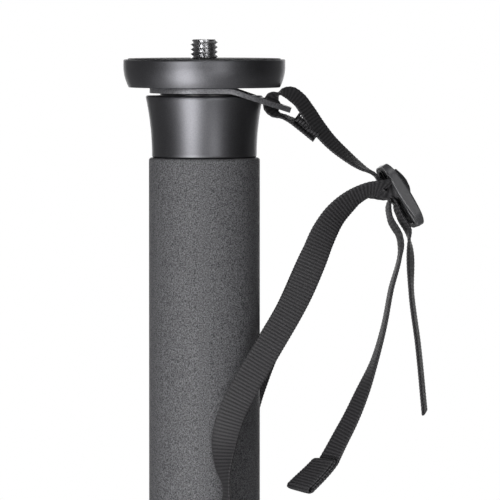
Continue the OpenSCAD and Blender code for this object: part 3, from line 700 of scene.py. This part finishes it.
# Closed-cell foam, skinned and ground: small light flecks on dark grey, nearly no gloss.
foam = grained("cell_foam_ground_dark_grey", 0.4, ("#29292b", "#767679"), (0.6, 0.66), relief=0.25, detail=5.0,
               part=(0.34, 0.66), more=[("Specular IOR Level", 0.35)])
# Natural rubber, moulded: a matt black skin.
rubber = grained("rubber_moulded_matt_black", 0.5, ("#252526", "#303031"), (0.55, 0.75), relief=0.02)
# Acetal, moulded black: a smooth dense plastic with a soft gloss on its edges.
moulded = grained("acetal_moulded_black", 1.5, ("#424244", "#4c4c4e"), (0.3, 0.4))
# Natural nylon, moulded: milky and slightly waxy.
nylon = grained("nylon_moulded_natural", 2.0, ("#cfccc1", "#dcd9cf"), (0.45, 0.55))
print("grained materials:", len(bpy.data.materials))

# %% [markdown]
# ## Finishes with a direction
# Three finishes have a direction: the weave runs along its strap, the tube's lines along its length, and a
# lathe leaves rings. Each stretches or repeats its pattern along that way alone.

# %% Materials with a direction
# Nylon webbing, woven black: its colour has a painted highlight on the crests of the ribs and painted shade in the
# grooves between them, mixed with the yarn's own uneven tone.
woven, tree = blank("nylon_webbing_woven_black")
run = node(tree, "ShaderNodeUVMap", uv_map="run")
parts = node(tree, "ShaderNodeSeparateXYZ", [("Vector", run.outputs["UV"])])
turn = node(tree, "ShaderNodeMath", [(0, parts.outputs["X"]), (1, 2 * math.pi / RIB)], operation="MULTIPLY")
wave = node(tree, "ShaderNodeMath", [(0, turn.outputs["Value"])], operation="COSINE")
yarn = node(tree, "ShaderNodeTexNoise", [("Vector", run.outputs["UV"]), ("Scale", 2.2), ("Detail", 4)])
blend = node(tree, "ShaderNodeMath", [(0, wave.outputs["Value"]), (1, 0.3), (2, yarn.outputs["Fac"])],
             operation="MULTIPLY_ADD")
# Painted light: lighter on the rib crests and darker in the grooves, over the yarn's own random tone.
yarn_tone_and_painted_rib_light = node(tree, "ShaderNodeMapRange", [("Value", blend.outputs["Value"]), ("From Min", 0.1), ("From Max", 0.9)])
colour = node(tree, "ShaderNodeMix", [("Factor", yarn_tone_and_painted_rib_light.outputs["Result"]), (6, linear("#1c1b1d")),
                                      (7, linear("#403f41"))], data_type="RGBA")
rise = node(tree, "ShaderNodeBump", [("Height", yarn.outputs["Fac"]), ("Distance", 0.08 * MM), ("Strength", 0.6)])
shader = node(tree, "ShaderNodeBsdfPrincipled", [
    ("Base Color", colour.outputs[2]), ("Roughness", 0.6), ("Specular IOR Level", 0.3), ("Sheen Weight", 0.04),
    ("Sheen Roughness", 0.4), ("Normal", rise.outputs["Normal"])])
node(tree, "ShaderNodeOutputMaterial", [("Surface", shader.outputs["BSDF"])])

# Aluminium tube, drawn and anodised dark: fine lines along the tube, half a millimetre apart.
tube_skin, tree = blank("aluminium_tube_drawn_anodised")
place = node(tree, "ShaderNodeTexCoord")
stretch = node(tree, "ShaderNodeMapping", [("Vector", place.outputs["Object"]), ("Scale", (1, 1, 0.02))])
lines = node(tree, "ShaderNodeTexNoise", [("Vector", stretch.outputs["Vector"]), ("Scale", 1 / (0.5 * MM)),
                                          ("Detail", 3)])
colour = node(tree, "ShaderNodeMix", [("Factor", lines.outputs["Fac"]), (6, linear("#545457")),
                                      (7, linear("#828286"))], data_type="RGBA")
dull = node(tree, "ShaderNodeMapRange", [("Value", lines.outputs["Fac"]), ("To Min", 0.26), ("To Max", 0.38)])
shader = node(tree, "ShaderNodeBsdfPrincipled", [("Base Color", colour.outputs[2]), ("Metallic", 1.0),
                                                 ("Roughness", dull.outputs["Result"])])
node(tree, "ShaderNodeOutputMaterial", [("Surface", shader.outputs["BSDF"])])

# Turned aluminium, bare: bright, with the rings that the tool left, drawn coarse so that they show.
turned_bare, tree = blank("aluminium_turned_bare")
place = node(tree, "ShaderNodeTexCoord")
rings = node(tree, "ShaderNodeTexWave", [("Vector", place.outputs["Object"]), ("Scale", 1 / (6 * MM)),
                                         ("Distortion", 0.4)], bands_direction="Z")
colour = node(tree, "ShaderNodeMix", [("Factor", rings.outputs["Fac"]), (6, linear("#c2c2c5")),
                                      (7, linear("#dededf"))], data_type="RGBA")
shader = node(tree, "ShaderNodeBsdfPrincipled", [("Base Color", colour.outputs[2]), ("Metallic", 1.0),
                                                 ("Roughness", 0.3)])
node(tree, "ShaderNodeOutputMaterial", [("Surface", shader.outputs["BSDF"])])
print("materials:", len(bpy.data.materials))

# %% Give every piece its finish
finish_of = {"anodised": anodised, "steel": steel, "ring_metal": painted, "rubber": rubber, "foam": foam,
             "nylon": nylon, "moulding": moulded, "webbing": woven, "tube_metal": tube_skin,
             "bare_aluminium": turned_bare}
for part in frame["record"]["subparts"]:
    shown = frame["nodes"][part["node"]]
    shown.data.materials.clear()
    shown.data.materials.append(finish_of[part["material_slot"]])
new_pieces = ((plate, anodised), (neck, anodised), (pad, rubber), (grip, foam), (screw, steel), (ring, painted),
              (slider, moulded), (slider_mid, moulded), (link, woven), (loop, woven), (fold, woven), (seam, woven))
for piece, finish in new_pieces:
    piece.data.materials.clear()
    piece.data.materials.append(finish)
print("finished pieces:", len(new_pieces), "new, the rest from the frame")

# %% [markdown]
# ## Floor
# The monopod stands on a plain disc of pale paper. Lit by the lamps alone it would be patchy, because the lamps are
# set for the metal. So most of what the camera sees there is the paper's own tone, and the rest is the light on it,
# which keeps the shadow.

# %% Floor
FLOOR_R, FLOOR_SIDES, OWN_TONE = 1.2, 96, 0.75
ring_a = np.linspace(0, 2 * np.pi, FLOOR_SIDES, endpoint=False)
disc = np.stack([FLOOR_R * np.cos(ring_a), FLOOR_R * np.sin(ring_a), np.full(FLOOR_SIDES, cad_box[0][2])], -1)
floor_mesh = bpy.data.meshes.new("floor")
floor_mesh.from_pydata(disc, [], [list(range(FLOOR_SIDES))])
floor = bpy.data.objects.new("floor", floor_mesh)
scene.collection.objects.link(floor)
# Matt paper, rolled out: even and pale, with no gloss.
paper_floor, tree = blank("paper_floor_pale")
shader = node(tree, "ShaderNodeBsdfPrincipled", [("Base Color", linear("#e4e4e4")), ("Roughness", 0.9)])
ray = node(tree, "ShaderNodeLightPath")
even_part = node(tree, "ShaderNodeMath", [(0, ray.outputs["Is Camera Ray"]), (1, OWN_TONE)],
                 operation="MULTIPLY")
tone = node(tree, "ShaderNodeEmission", [("Color", linear("#ececec"))])
both = node(tree, "ShaderNodeMixShader", [("Fac", even_part.outputs["Value"]), (1, shader.outputs["BSDF"]),
                                          (2, tone.outputs["Emission"])])
node(tree, "ShaderNodeOutputMaterial", [("Surface", both.outputs["Shader"])])
floor_mesh.materials.append(paper_floor)
# The floor goes down with the foot, so a monopod drawn out still stands on it.
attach(floor, "section_4")
print("floor at", round(cad_box[0][2], 4))
